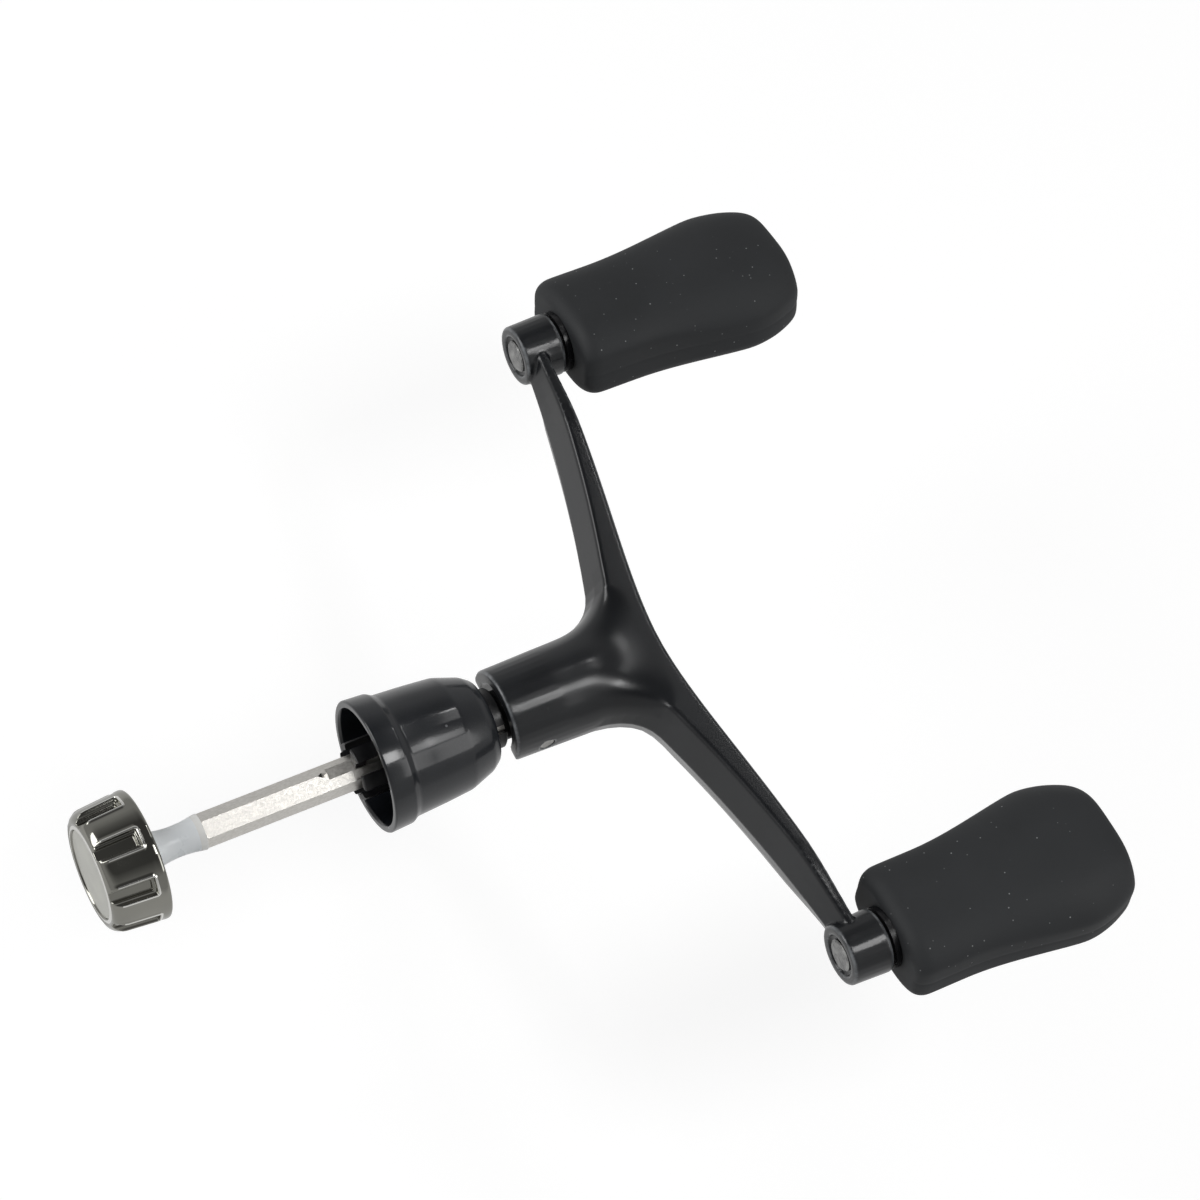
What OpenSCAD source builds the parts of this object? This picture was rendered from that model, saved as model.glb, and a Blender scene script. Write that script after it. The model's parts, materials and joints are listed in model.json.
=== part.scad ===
// Double handle of a spinning fishing reel: a folding die-cast crank with two soft paddle knobs,
// its hexagonal drive shaft, the flared seat collar and the screw cap of the far side.
// +X runs along the drive shaft from the cap to the crank, Y along the span of the two arms.
// The origin is on the shaft's axis, in the plane of the collar's mouth.

/* [Crank] */
// Distance from the drive shaft's axis to a knob's axis
crank_radius = 45; // [38:0.5:55]
// Radius of the round stem at its open end
stem_radius = 5.95; // [5.6:0.05:6.8]
// Gap between the collar's back face and the stem's open end
stem_gap = 1.9; // [1.8:0.05:2.4]
// Length of the stem from its open end to the arms' fillets
stem_length = 11.7; // [10.5:0.1:14]
// Swell of the stem's radius towards the arms
stem_swell = 0.25; // [0:0.05:0.5]
// Distance from the stem's open end to the crank's outer edge
hub_reach = 22.1; // [21:0.1:26]
// Height of the arms over their straight run
arm_height = 10; // [8:0.1:11]
// Height of the arms where they meet the knob bosses
arm_tip_height = 6.6; // [5.5:0.1:7.4]
// Draft of the arms' inner wall, measured from the parting line to the flat
arm_draft = 1.5; // [0.6:0.1:2.2]
// Break of the arms' long edges
arm_edge = 0.25; // [0.1:0.05:0.5]
// Depth of the step along the underside of the arms' inner wall
arm_step = 0.15; // [0.1:0.05:0.6]

/* [Knob bosses] */
// Distance from the stem's open end to the bosses' riveted faces
boss_reach = 24.75; // [24:0.05:27]
// Length of the knob bosses
boss_length = 5.45; // [4.5:0.05:8]
// Radius of the knob bosses at the riveted face
boss_radius = 3.95; // [3.8:0.05:4.6]
// Growth of the boss radius towards the knob
boss_draft = 0.2; // [0:0.05:0.4]
// Diameter of the recess round the riveted head
rivet_recess = 5.4; // [4.8:0.1:6.4]
// Depth of that recess
rivet_recess_depth = 0.5; // [0.3:0.05:1]

/* [Fold joint] */
// Distance from the stem's open end to the fold pin
fold_setback = 4.3; // [4.2:0.05:5]
// Diameter of the fold pin
fold_pin_d = 2; // [1.6:0.1:2.4]
// Radius of the ball end of the drive shaft
ball_radius = 4; // [3.6:0.05:4.1]
// Clearance round the ball end inside the stem
ball_gap = 0.25; // [0.15:0.05:0.4]

/* [Drive shaft] */
// Size of the hexagonal shaft across its flats
hex_flats = 3.8; // [3.4:0.05:4.2]
// Free end of the hexagonal shaft
hex_end = -22.6; // [-30:0.1:-18]
// Turn of the hexagon about its axis
hex_turn = -21; // [-30:1:30]
// Radius of the turned barrel behind the ball end
barrel_radius = 3.2; // [3:0.05:3.4]
// Start of the turned barrel
barrel_start = 10; // [8.5:0.1:12]
// Start of the milled flat that guides the collar
key_start = -5.2; // [-6.5:0.1:-4.8]
// Depth of the milled flat below the hexagon's corner
key_depth = 0.45; // [0.3:0.05:0.6]

/* [Collar] */
// Radius of the collar's rim at its mouth
rim_radius = 8.6; // [8.3:0.05:10]
// Width of the band behind the rim
rim_band = 3; // [2:0.1:4.5]
// Depth of the step behind the rim band
rim_step = 0.5; // [0.3:0.05:0.8]
// Wall of the collar at its mouth
collar_wall = 1; // [0.8:0.05:1.4]
// Length of the collar
collar_length = 15.9; // [14.5:0.05:19]
// Radius of the collar's back face
collar_back_radius = 5.45; // [4.9:0.05:5.6]
// Thickness of the collar's back wall
collar_back_wall = 2.6; // [2:0.1:3.4]
// Radius of the neck that carries the collar on the barrel
neck_radius = 3.9; // [3.7:0.05:3.95]
// How far the neck stands out behind the collar
neck_reach = 1.7; // [1:0.1:1.7]
// Radius of the ring of spring fingers
finger_radius = 3.7; // [3.4:0.05:4.2]
// Wall of the spring fingers
finger_wall = 0.8; // [0.5:0.05:0.9]
// How far the fingers stand out of the mouth
finger_reach = 1.7; // [0.5:0.1:2.2]
// Number of spring fingers
finger_count = 6; // [4:1:8]
// Gap between two spring fingers
finger_slot = 1.6; // [1:0.1:2]
// Turn of the slot in the neck
neck_slot_turn = 48; // [0:1:90]

/* [Screw cap] */
// Back face of the screw cap
cap_back = -29.1; // [-40:0.1:-26]
// Thickness of the screw cap
cap_thickness = 7.2; // [6:0.1:9]
// Radius of the screw cap at its back
cap_radius = 8.3; // [7.6:0.05:10]
// Taper of the cap's radius towards its front
cap_taper = 0.5; // [0:0.05:0.8]
// Number of grip grooves round the cap
groove_count = 8; // [6:1:12]
// Width of a grip groove
groove_width = 2.3; // [1.4:0.1:2.6]
// Depth of a grip groove
groove_depth = 0.9; // [0.5:0.05:1.2]
// Solid rim left behind the grooves
groove_rim = 1.2; // [0.8:0.1:2]
// Diameter of the disc let into the cap's front
disc_d = 11.4; // [8:0.1:12]
// Diameter of the cap's screw
screw_d = 2.9; // [2.4:0.1:3]
// Length of the cap's screw in front of the cap
screw_length = 17; // [12:0.5:20]
// Radius of the thread sleeve at the shaft
sleeve_radius = 2.2; // [2:0.05:2.6]
// Radius of the thread sleeve at the cap
sleeve_flare = 2.75; // [2.3:0.05:3.4]

/* [Knobs] */
// Neck of the knob's core that shows before the grip
neck_length = 0.75; // [0.4:0.05:2]
// Length of the rubber grip
grip_length = 31.4; // [28:0.1:40]
// Width of the grip at its inner end
grip_inner_width = 16.3; // [14:0.1:20]
// Width of the grip at its shoulders, before it draws in again
grip_outer_width = 21.2; // [17:0.1:26]
// How much of its width the grip loses from its shoulders to its end
grip_draw_in = 0.127; // [0:0.005:0.2]
// Thickness of the grip at its inner end
grip_inner_thickness = 11.4; // [11:0.1:15]
// Thickness of the grip at its shoulders
grip_outer_thickness = 12.9; // [11:0.1:17]
// Height of the grip's straight side at its inner end
grip_inner_side = 6.2; // [3:0.1:8]
// Height of the grip's straight side at its shoulders
grip_outer_side = 5; // [3:0.1:8]
// Exponent of the crown on the grip's broad faces
grip_crown = 3.5; // [2:0.1:5]
// Radius of the spindle that a knob turns on
spindle_radius = 2; // [1.8:0.05:2.2]
// Turn of the far knob on its spindle
far_turn = -17; // [-180:1:180]
// Turn of the near knob on its spindle
near_turn = -8; // [-180:1:180]

/* [Hidden] */
$fn = 72;
eps = 0.01;

// running fit between a pin or spindle and its hole
run_fit = 0.04;
// gap between parts that are pushed together and stay still
seat_fit = 0.01;

// fold joint
stem_front = collar_length + stem_gap;
fold_x = stem_front + fold_setback;
bore_radius = ball_radius + ball_gap;
bore_end = fold_x + bore_radius + 0.15;
slot_end = fold_x + rim_radius - 1.3;
swing_radius = fold_setback;

// crank
stem_back = stem_front + stem_length;
hub_out = stem_front + hub_reach;
boss_front = stem_front + boss_reach;
stem_back_radius = stem_radius + stem_swell;
stem_nose = stem_back + 9;
loft_start = stem_back - 2.5;
loft_inset = 0.07;
boss_back = boss_front + boss_length;
hub_half = 1.2;
arm_end = crank_radius - 1;
tip_in = boss_front + 0.7;
tip_out = boss_front + 3.0;
edge_level = 0.94;
path_steps = 22;
fillet_share = 0.34;

// shaft
hex_corner = hex_flats / cos(30);
hex_chamfer = 0.5;
key_angle = hex_turn + 30;
key_level = hex_corner / 2 - key_depth;
thread_depth = 13;
screw_clear = 0.05;

// collar
mouth_radius = rim_radius - collar_wall;
collar_inside = collar_length - collar_back_wall;
shoulder_length = 4.25;
sleeve_flange = 6.4;
sleeve_flange_t = 1.3;
guide_end = barrel_start - 3.2;
guide_fit = 0.08;
finger_depth = guide_end - 2.2;
tooth_width = 1.4;
tooth_gap = 0.15;

// knob
bush_wall = 1;
bush_length = 4;
washer_t = 0.3;
washer_radius = 3.4;
flange_radius = 4;
core_radius = 3.7;
core_start = boss_back + washer_t + 0.05;
grip_start = core_start + neck_length;
grip_end = grip_start + grip_length;
plug_t = 1.8;
plug_radius = 3.9;
spindle_end = grip_end - 8;
screw_head_radius = 2.9;
screw_head_t = 1.3;
wing_width = grip_inner_width - 5;
wing_t = 3;
wing_start = grip_start + 4;
wing_end = grip_end - 9;

// Solid of revolution about X from a list of [radius, x] points
module turned(points) {
    rotate([0, 90, 0]) rotate_extrude() polygon(points);
}

// Straight round bar along X
module bar(radius, from, to) {
    translate([from, 0, 0]) rotate([0, 90, 0]) cylinder(r = radius, h = to - from);
}

// Straight round tube along X
module tube(outer, inner, from, to) {
    difference() {
        bar(outer, from, to);
        bar(inner, from - 1, to + 1);
    }
}

// Regular hexagonal bar along X
module hex_bar(flats, from, to) {
    translate([from, 0, 0]) rotate([30 - hex_turn, 0, 0]) rotate([0, 90, 0])
        cylinder(d = flats / cos(30), h = to - from, $fn = 6);
}

// Point on a cubic curve with four control points
function cubic(p, t) =
    p[0] * pow(1 - t, 3) + p[1] * 3 * t * pow(1 - t, 2)
    + p[2] * 3 * pow(t, 2) * (1 - t) + p[3] * pow(t, 3);

// Point on a quadratic curve with three control points
function quad(p, t) = p[0] * pow(1 - t, 2) + p[1] * 2 * t * (1 - t) + p[2] * pow(t, 2);

// Smooth step from 0 to 1
function smooth(t) = let (u = min(1, max(0, t))) u * u * (3 - 2 * u);

// Half height of an arm at a distance y from the axis
function arm_half(y) =
    arm_height / 2 - (arm_height - arm_tip_height) / 2 * smooth((y / crank_radius - 0.68) / 0.28);

// Inner edge of an arm, from the stem's side to the boss. level runs from -1 at the underside
// through 0 at the parting line to 1 at the top flat
function inner_curve(level) =
    let (d = arm_draft * abs(level), k = crank_radius / 45)
    [[hub_out - 4.2 + d * 1.1, 11 * k], [hub_out - 0.9 + d * 1.05, 21 * k],
     [tip_in - 1.4 + d * 0.95, 33 * k], [tip_in + d * 0.8, arm_end]];
function stem_side(level) =
    sqrt(pow(stem_back_radius - loft_inset, 2) - pow(level * arm_height / 2, 2));
function fillet_curve(level) =
    let (start = inner_curve(level)[0], side = stem_side(level))
    [[loft_start, side], [start[0] - 1.4, side], start];
function inner_path(level, t) =
    t < fillet_share ? quad(fillet_curve(level), t / fillet_share)
    : cubic(inner_curve(level), (t - fillet_share) / (1 - fillet_share));

// Outer edge of an arm, from the hub to the boss
function outer_curve(level) =
    let (d = 0.45 * (1 - abs(level)), k = crank_radius / 45)
    [[hub_out + d, hub_half], [hub_out + 0.4 + d, 12 * k],
     [tip_out - 1.2 + d, 24 * k], [tip_out + d, arm_end]];

// Edges of the arm pulled in at the top and bottom flats, which breaks the long edges
function edge_in(level) = abs(level) > edge_level + eps ? arm_edge : 0;
// The step runs along the underside between a fifth and four fifths of the arm
function step_in(level, t) = level < -0.3 && level > -0.7 && t > 0.42 && t < 0.86 ? -arm_step : 0;

levels = [-1, -edge_level, -0.5, 0, 0.5, edge_level, 1];
function ring(t, side) =
    let (y_in = [for (l = levels) inner_path(l, t)], y_out = [for (l = levels) cubic(outer_curve(l), t)])
    concat(
        [for (i = [0 : len(levels) - 1])
            [y_in[i][0] + edge_in(levels[i]) + step_in(levels[i], t), side * y_in[i][1],
             levels[i] * arm_half(y_in[i][1])]],
        [for (i = [len(levels) - 1 : -1 : 0])
            [y_out[i][0] - edge_in(levels[i]), side * y_out[i][1], levels[i] * arm_half(y_out[i][1])]]);

// Skin over a row of rings with the same number of points each, closed at both ends
module skin(rings) {
    n = len(rings[0]);
    m = len(rings);
    points = [for (r = rings) each r];
    sides = [for (i = [0 : m - 2]) for (j = [0 : n - 1])
        let (a = i * n + j, b = i * n + (j + 1) % n, c = a + n, d = b + n) each [[a, b, d], [a, d, c]]];
    polyhedron(points, concat(sides, [[for (j = [n - 1 : -1 : 0]) j]], [[for (j = [0 : n - 1]) (m - 1) * n + j]]));
}

// Both arms as one lofted bar with a web that reaches into the stem
module arms() {
    far = [for (i = [path_steps : -1 : 0]) ring(i / path_steps, 1)];
    near = [for (i = [0 : path_steps]) ring(i / path_steps, -1)];
    skin(concat(far, near));
}

module boss(side) {
    back_radius = boss_radius + boss_draft;
    translate([0, side * crank_radius, 0])
        turned([[0, boss_front], [boss_radius - 0.25, boss_front], [boss_radius, boss_front + 0.25],
            [back_radius, boss_back - 0.2], [back_radius - 0.2, boss_back], [0, boss_back]]);
}

module stem() {
    turned([[0, stem_front], [stem_radius - 0.2, stem_front], [stem_radius, stem_front + 0.2],
        [stem_back_radius, stem_back], [stem_back_radius - 0.05, stem_back + 1.5],
        [stem_back_radius - 0.45, stem_back + 3.2], [stem_back_radius - 1.3, stem_back + 5],
        [stem_back_radius - 2.9, stem_back + 6.8], [0, stem_nose]]);
}

// Room inside the stem for the ball end, open below so that the crank can fold down
module fold_room() {
    bar(bore_radius, stem_front - 1, bore_end);
    translate([stem_front - 1, -bore_radius, -arm_height])
        cube([slot_end - stem_front + 1, 2 * bore_radius, arm_height]);
    difference() {
        translate([stem_front - 1, -arm_height, -arm_height])
            cube([fold_setback + 1, 2 * arm_height, arm_height]);
        translate([fold_x, 0, 0]) rotate([90, 0, 0])
            cylinder(r = swing_radius, h = 4 * arm_height, center = true);
    }
}

module crank_arm() {
    color([0.17, 0.18, 0.2]) difference() {
        union() {
            stem();
            arms();
            boss(1);
            boss(-1);
        }
        fold_room();
        translate([fold_x, 0, 0]) rotate([90, 0, 0])
            cylinder(d = fold_pin_d + 2 * seat_fit, h = 4 * stem_radius, center = true);
        for (side = [-1, 1]) translate([0, side * crank_radius, 0]) {
            bar(spindle_radius - 0.2 + seat_fit, boss_front - 1, boss_back + 1);
            bar(rivet_recess / 2, boss_front - 1, boss_front + rivet_recess_depth);
        }
    }
}

module fold_pin() {
    half = stem_radius - 0.15;
    color([0.55, 0.54, 0.52]) translate([fold_x, 0, 0]) rotate([90, 0, 0]) rotate_extrude()
        polygon([[0, -half], [fold_pin_d / 2 - 0.2, -half], [fold_pin_d / 2, -half + 0.2],
            [fold_pin_d / 2, half - 0.2], [fold_pin_d / 2 - 0.2, half], [0, half]]);
}

module drive_shaft() {
    color([0.72, 0.71, 0.68]) difference() {
        union() {
            intersection() {
                hex_bar(hex_flats, hex_end, barrel_start + 1);
                turned([[0, hex_end], [hex_corner / 2 - hex_chamfer, hex_end], [hex_corner / 2 + 0.1, hex_end + 1.1],
                    [hex_corner / 2 + 0.1, barrel_start + 1], [0, barrel_start + 1]]);
            }
            turned([[0, barrel_start - 0.6], [hex_flats / 2 - 0.2, barrel_start - 0.6], [barrel_radius, barrel_start + 0.8],
                [barrel_radius, fold_x], [0, fold_x]]);
            translate([fold_x, 0, 0]) sphere(r = ball_radius);
        }
        bar(screw_d / 2 + screw_clear, hex_end - 1, hex_end + thread_depth);
        translate([fold_x, 0, 0]) rotate([90, 0, 0])
            cylinder(d = fold_pin_d + 2 * run_fit, h = 4 * ball_radius, center = true);
        rotate([-key_angle, 0, 0]) translate([key_start, -hex_flats / 2, key_level])
            cube([barrel_start - key_start - 1, hex_flats, 1]);
    }
}

module collar_shell() {
    shoulder = collar_length - shoulder_length;
    body = rim_radius - 0.2 - rim_step;
    color([0.2, 0.21, 0.23]) turned([
        [mouth_radius, 0.15], [mouth_radius + 0.15, 0], [rim_radius - 0.2, 0], [rim_radius, 0.2],
        [rim_radius - 0.2, rim_band], [body, rim_band + 0.9], [body - 0.35, shoulder - 2.4], [body - 0.6, shoulder],
        [body - 0.82, shoulder + 1.1], [body - 1.2, shoulder + 2.2], [body - 1.75, shoulder + 3.4],
        [collar_back_radius + 0.1, collar_length - 0.15], [collar_back_radius - 0.1, collar_length],
        [neck_radius + seat_fit, collar_length], [neck_radius + seat_fit, collar_inside],
        [mouth_radius - 1.5, collar_inside], [mouth_radius - 0.7, collar_inside - 1.2],
        [mouth_radius - 0.25, collar_inside - 5]]);
}

module collar_sleeve() {
    color([0.05, 0.05, 0.055]) {
        sleeve_body();
        sleeve_tooth();
    }
}

// The tooth on one finger runs in the shaft's milled flat and stops at its end
module sleeve_tooth() {
    foot = key_level + tooth_gap;
    rotate([-key_angle, 0, 0]) translate([-finger_reach, -tooth_width / 2, foot])
        cube([tooth_width, tooth_width, finger_radius - finger_wall / 2 - foot]);
}

module sleeve_body() {
    inner = finger_radius - finger_wall;
    neck_end = collar_length + neck_reach;
    flange = collar_inside - sleeve_flange_t;
    difference() {
        turned([[0, 0.5], [finger_radius - 1.5, 0.5], [finger_radius - 1.5, -finger_reach + 0.6],
            [inner, -finger_reach], [finger_radius - 0.15, -finger_reach],
            [finger_radius, -finger_reach + 0.15], [finger_radius, flange], [sleeve_flange - 0.4, flange],
            [sleeve_flange - 0.4, collar_inside - seat_fit], [neck_radius, collar_inside - seat_fit],
            [neck_radius, neck_end - 0.2], [neck_radius - 0.2, neck_end], [0, neck_end]]);
        turned([[0, -finger_reach - 1], [inner, -finger_reach - 1], [inner, finger_depth], [0, finger_depth]]);
        hex_bar(hex_flats + 2 * guide_fit, finger_depth - 1, guide_end + 1);
        bar(barrel_radius + run_fit, guide_end, neck_end + 1);
        for (i = [0 : finger_count - 1]) rotate([i * 360 / finger_count - hex_turn, 0, 0])
            translate([-finger_reach - 1, -finger_slot / 2, 0])
                cube([finger_reach + 1 + finger_depth - 1, finger_slot, finger_radius + 1]);
        rotate([neck_slot_turn, 0, 0]) translate([collar_length - 0.5, -0.55, barrel_radius - 1])
            cube([neck_reach + 1, 1.1, 2]);
    }
}

module cap_body() {
    front = cap_back - cap_thickness;
    front_radius = cap_radius - cap_taper;
    color([0.82, 0.82, 0.81]) difference() {
        turned([[0, cap_back], [cap_radius - 0.3, cap_back], [cap_radius, cap_back - 0.3],
            [cap_radius - 0.1, cap_back - groove_rim], [front_radius, front + 1.6],
            [front_radius - 0.25, front + 0.9], [front_radius - 0.8, front + 0.3], [front_radius - 1.5, front], [0, front]]);
        for (i = [0 : groove_count - 1]) rotate([(i + 0.12) * 360 / groove_count, 0, 0])
            translate([0, 0, cap_radius + groove_width / 2 - groove_depth]) rotate([0, -2, 0])
                bar(groove_width / 2, front - 1, cap_back - groove_rim - 0.4);
        bar(disc_d / 2, front - 1, front + 1);
        bar(screw_d / 2 + seat_fit, front, cap_back + 1);
        bar(screw_d / 2 + 1.2, front, front + 2.4);
    }
}

module cap_disc() {
    front = cap_back - cap_thickness;
    color([0.88, 0.88, 0.87]) turned([[0, front + 1 - seat_fit], [disc_d / 2 - seat_fit, front + 1 - seat_fit],
        [disc_d / 2 - seat_fit, front + 0.35], [disc_d / 2 - 0.3, front + 0.15], [0, front + 0.15]]);
}

module cap_screw() {
    front = cap_back - cap_thickness;
    color([0.75, 0.74, 0.72]) turned([[0, front + 1.2], [screw_d / 2 + 1, front + 1.2],
        [screw_d / 2 + 1, front + 2.4 - seat_fit], [screw_d / 2, front + 2.4 - seat_fit],
        [screw_d / 2, cap_back + screw_length - 0.6], [screw_d / 2 - 0.5, cap_back + screw_length],
        [0, cap_back + screw_length]]);
}

module thread_sleeve() {
    color([0.82, 0.88, 0.92]) turned([[screw_d / 2 + screw_clear, cap_back + seat_fit], [sleeve_flare, cap_back + seat_fit],
        [sleeve_flare - 0.1, cap_back + 0.6], [sleeve_radius + 0.15, cap_back + 3], [sleeve_radius, hex_end - 0.8],
        [sleeve_radius - 0.3, hex_end - 0.1], [screw_d / 2 + screw_clear, hex_end - 0.1]]);
}

module spindle() {
    shank = spindle_radius - 0.2;
    head = rivet_recess / 2 - 0.6;
    color([0.86, 0.86, 0.85]) difference() {
        turned([[0, boss_front + 0.05], [head - 0.2, boss_front + 0.05], [head, boss_front + 0.2],
            [head, boss_front + rivet_recess_depth - seat_fit], [shank, boss_front + rivet_recess_depth - seat_fit],
            [shank, boss_back + seat_fit], [spindle_radius, boss_back + seat_fit],
            [spindle_radius, spindle_end - 0.2], [spindle_radius - 0.2, spindle_end], [0, spindle_end]]);
        bar(1.1, spindle_end - 7, spindle_end + 1);
    }
}

module thrust_washer() {
    color([0.12, 0.12, 0.13])
        tube(washer_radius, spindle_radius + run_fit, boss_back + seat_fit, boss_back + seat_fit + washer_t);
}

module bush(from) {
    color([0.75, 0.75, 0.72])
        tube(spindle_radius + bush_wall, spindle_radius + run_fit, from, from + bush_length);
}

module end_screw() {
    color([0.7, 0.69, 0.66]) difference() {
        turned([[0, spindle_end - 5.5], [1.05, spindle_end - 5.5], [1.05, spindle_end + seat_fit],
            [screw_head_radius, spindle_end + seat_fit], [screw_head_radius, spindle_end + 0.5],
            [screw_head_radius - 0.6, spindle_end + screw_head_t], [0, spindle_end + screw_head_t]]);
        for (a = [0, 90]) rotate([a, 0, 0]) translate([spindle_end + 0.6, -0.3, -1.4]) cube([1, 0.6, 2.8]);
    }
}

module wings(grow) {
    translate([wing_start, -wing_width / 2 - grow, -wing_t / 2 - grow])
        cube([wing_end - wing_start, wing_width + 2 * grow, wing_t + 2 * grow]);
}

module knob_core(turn) {
    outer_bush = spindle_end - 0.1 - bush_length;
    color([0.1, 0.1, 0.1]) rotate([turn, 0, 0]) difference() {
        union() {
            bar(flange_radius, core_start, grip_start - seat_fit);
            bar(core_radius, core_start, grip_end - plug_t);
            wings(0);
        }
        bar(spindle_radius + 0.4, core_start - 1, grip_end);
        bar(spindle_radius + bush_wall + seat_fit, core_start - 1, core_start + bush_length + 0.1);
        bar(spindle_radius + bush_wall + seat_fit, outer_bush - 0.1, grip_end);
        bar(screw_head_radius + 0.3, spindle_end - 0.05, grip_end);
    }
}

// Half width, half thickness and half side height of the grip at a share u of its length
function grip_half_width(u) =
    (grip_inner_width + (grip_outer_width - grip_inner_width) * smooth((u - 0.232) / 0.657)) / 2
    * (1 - grip_draw_in * smooth((u - 0.735) / 0.217));
function grip_half_thick(u) =
    (grip_inner_thickness + (grip_outer_thickness - grip_inner_thickness) * smooth((u - 0.2) / 0.5)) / 2;
function grip_half_side(u) =
    (grip_inner_side + (grip_outer_side - grip_inner_side) * smooth((u - 0.2) / 0.5)) / 2;

// A quarter of the section runs from the edge of the straight side over the crowned face to the middle
function grip_quarter(w, t, e) =
    [for (k = [0 : 7]) let (y = pow(1 - k / 7, 0.6)) [w * y, e + (t - e) * (1 - pow(y, grip_crown))]];
function grip_section(w, t, e, x) =
    let (q = grip_quarter(w, t, e), n = len(q) - 1)
    concat([for (k = [0 : n]) [x, q[k][0], q[k][1]]],
        [for (k = [n - 1 : -1 : 0]) [x, -q[k][0], q[k][1]]],
        [for (k = [0 : n]) [x, -q[k][0], -q[k][1]]],
        [for (k = [n - 1 : -1 : 0]) [x, q[k][0], -q[k][1]]]);

// The grip's ends are rounded by quarters of an ellipse
inner_round = 2.3;
inner_drop_wide = 1.25;
inner_drop_thick = 1.4;
outer_round = 4.6;
outer_drop_wide = 2.5;
outer_drop_thick = 1.05;
function quarter(t) = 1 - sqrt(max(0, 1 - pow(1 - t, 2)));
function grip_ring(x) =
    let (u = (x - grip_start) / grip_length, head = min(1, (x - grip_start) / inner_round),
        tail = min(1, (grip_end - x) / outer_round),
        thick = grip_half_thick(u) - inner_drop_thick * quarter(head) - outer_drop_thick * quarter(tail))
    grip_section(grip_half_width(u) - inner_drop_wide * quarter(head) - outer_drop_wide * quarter(tail), thick,
        grip_half_side(u) * thick / grip_half_thick(u), x);

grip_stations = concat(
    [for (a = [0 : 18 : 90]) grip_start + inner_round * (1 - cos(a))],
    [for (i = [1 : 13]) grip_start + inner_round + (grip_length - inner_round - outer_round) * i / 13],
    [for (a = [15 : 15 : 90]) grip_end - outer_round * (1 - sin(a))]);

module grip(turn) {
    color([0.13, 0.135, 0.14]) rotate([turn, 0, 0]) difference() {
        skin([for (x = grip_stations) grip_ring(x)]);
        bar(core_radius + seat_fit, grip_start - 1, grip_end - plug_t + 0.1);
        bar(plug_radius + 0.3 + seat_fit, grip_end - plug_t, grip_end + 1);
        wings(seat_fit);
    }
}

module end_plug(turn) {
    color([0.08, 0.08, 0.085]) rotate([turn, 0, 0]) turned([[0, grip_end - plug_t - 1], [2.9, grip_end - plug_t - 1],
        [2.9, grip_end - plug_t + seat_fit], [plug_radius, grip_end - plug_t + seat_fit],
        [plug_radius, grip_end - 0.7], [plug_radius - 0.6, grip_end - 0.35], [0, grip_end - 0.2]]);
}

module far() { translate([0, crank_radius, 0]) children(); }
module near() { translate([0, -crank_radius, 0]) children(); }

crank_arm();
fold_pin();
drive_shaft();
collar_shell();
collar_sleeve();
cap_body();
cap_disc();
cap_screw();
thread_sleeve();
far() spindle();  // far_spindle
far() thrust_washer();  // far_washer
far() bush(core_start);  // far_inner_bush
far() bush(spindle_end - 0.1 - bush_length);  // far_outer_bush
far() end_screw();  // far_screw
far() knob_core(far_turn);  // far_core
far() grip(far_turn);  // far_grip
far() end_plug(far_turn);  // far_plug
near() spindle();  // near_spindle
near() thrust_washer();  // near_washer
near() bush(core_start);  // near_inner_bush
near() bush(spindle_end - 0.1 - bush_length);  // near_outer_bush
near() end_screw();  // near_screw
near() knob_core(near_turn);  // near_core
near() grip(near_turn);  // near_grip
near() end_plug(near_turn);  // near_plug
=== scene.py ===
import bpy
import bmesh
import json
import math
from mathutils import Matrix, Vector


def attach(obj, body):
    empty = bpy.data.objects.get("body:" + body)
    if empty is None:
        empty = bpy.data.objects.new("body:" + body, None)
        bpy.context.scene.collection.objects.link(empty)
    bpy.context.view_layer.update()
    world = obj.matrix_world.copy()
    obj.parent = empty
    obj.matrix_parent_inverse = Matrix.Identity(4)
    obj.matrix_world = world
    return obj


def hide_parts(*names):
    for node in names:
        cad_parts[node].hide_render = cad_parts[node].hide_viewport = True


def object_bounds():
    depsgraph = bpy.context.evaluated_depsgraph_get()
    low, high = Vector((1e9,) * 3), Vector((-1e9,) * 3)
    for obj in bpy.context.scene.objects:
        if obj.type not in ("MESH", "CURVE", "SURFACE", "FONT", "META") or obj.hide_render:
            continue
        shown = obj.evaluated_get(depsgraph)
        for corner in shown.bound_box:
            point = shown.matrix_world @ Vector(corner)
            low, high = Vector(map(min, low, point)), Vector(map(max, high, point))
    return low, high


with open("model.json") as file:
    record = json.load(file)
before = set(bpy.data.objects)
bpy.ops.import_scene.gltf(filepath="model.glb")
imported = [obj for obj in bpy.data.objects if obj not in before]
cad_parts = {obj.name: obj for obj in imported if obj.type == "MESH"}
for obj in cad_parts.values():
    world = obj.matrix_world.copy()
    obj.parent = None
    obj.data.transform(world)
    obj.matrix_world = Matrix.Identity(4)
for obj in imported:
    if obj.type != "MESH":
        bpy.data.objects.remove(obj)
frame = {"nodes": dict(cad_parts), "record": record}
sizeAtStart = [list(corner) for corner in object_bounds()]
mm = 0.001
ringWeld = 0.0000005  # points of lofted rings that lie closer than this are joined
solidWeld = 0.000001  # the same for the loose triangles of a solid
print("frame loaded:", len(frame["nodes"]), "nodes")


# Hand tools: select, copy, extrude, smooth and finish

def clearSelection():
    if bpy.context.object and bpy.context.object.mode != "OBJECT":
        bpy.ops.object.mode_set(mode="OBJECT")
    bpy.ops.object.select_all(action="DESELECT")


def makeActive(piece):
    clearSelection()
    piece.select_set(True)
    bpy.context.view_layer.objects.active = piece


def smoothShade(piece, angle):
    makeActive(piece)
    bpy.ops.object.shade_smooth_by_angle(angle=math.radians(angle))


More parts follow.
